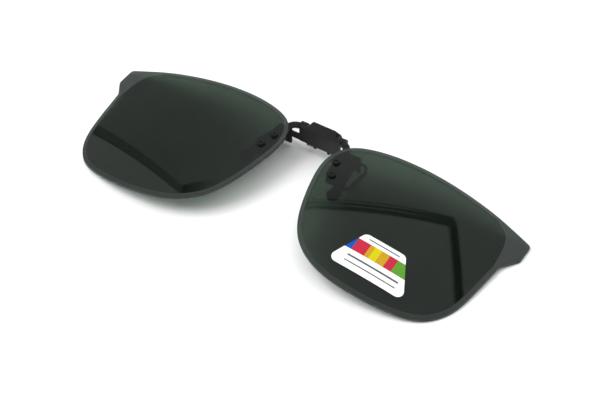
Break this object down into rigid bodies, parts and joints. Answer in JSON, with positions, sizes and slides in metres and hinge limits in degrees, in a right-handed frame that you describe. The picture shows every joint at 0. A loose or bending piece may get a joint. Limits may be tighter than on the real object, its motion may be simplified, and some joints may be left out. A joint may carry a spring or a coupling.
{
  "type": "flip-up clip-on sunglasses",
  "caption": "Flip-up clip-on sunglasses: dark green curved lenses on a hinged bridge with a spring clamp of front claws and rear wire loops.",
  "frame": {"origin": "on the surface that the clip-on lies on, under the middle of its overall box; it lies on its back, lens fronts up", "axes": "+X along the two lenses, +Y up on the wearer's face, +Z out of the front of the lenses"},
  "size_m": [0.142, 0.05, 0.0114],
  "materials": {
    "tinted_lens": "polished, tinted right through, with a matt rim",
    "black_steel": "satin black paint",
    "wire_black": "satin black paint on round wire",
    "rivet_black": "satin black",
    "axle_steel": "dark burnished",
    "spring_steel": "dark spring steel",
    "rubber": "soft matt",
    "nylon": "moulded, semi-matt",
    "label_film": "printed film, plain colour stripes, no lettering"
  },
  "bodies": {
    "clamp": {"hinge_housing": "black_steel", "claw_frame": "black_steel", "front_claw_tip_right": "rubber", "front_claw_tip_left": "rubber", "detent_spring": "spring_steel", "torsion_spring_right": "spring_steel", "torsion_spring_left": "spring_steel"},
    "lens_carrier": {"flip_axle": "axle_steel", "detent_cam": "nylon", "colour_label": "label_film", "lens_right": "tinted_lens", "lens_bracket_right": "black_steel", "rivet_bushes_right": "nylon", "rivet_upper_right": "rivet_black", "rivet_lower_right": "rivet_black", "axle_washer_right": "nylon", "lens_left": "tinted_lens", "lens_bracket_left": "black_steel", "rivet_bushes_left": "nylon", "rivet_upper_left": "rivet_black", "rivet_lower_left": "rivet_black", "axle_washer_left": "nylon"},
    "rear_jaw": {"jaw_hub": "black_steel", "rear_claw_wire_right": "wire_black", "rear_claw_sleeve_right": "rubber", "rear_claw_wire_left": "wire_black", "rear_claw_sleeve_left": "rubber"}
  },
  "joints": [
    {"name": "flip", "type": "hinge", "parent": "clamp", "child": "lens_carrier", "pos_m": [0, 0.0217, 0.0081], "axis": [-1, 0, 0], "range_deg": [0, 90], "deforming": ["detent_spring"]},
    {"name": "rear_jaw_open", "type": "hinge", "parent": "clamp", "child": "rear_jaw", "pos_m": [0, 0.0217, 0.0028], "axis": [1, 0, 0], "range_deg": [0, 36], "stiffness_Nm_per_rad": 0.008, "springref_deg": -57.3, "deforming": ["torsion_spring_right", "torsion_spring_left"]}
  ]
}
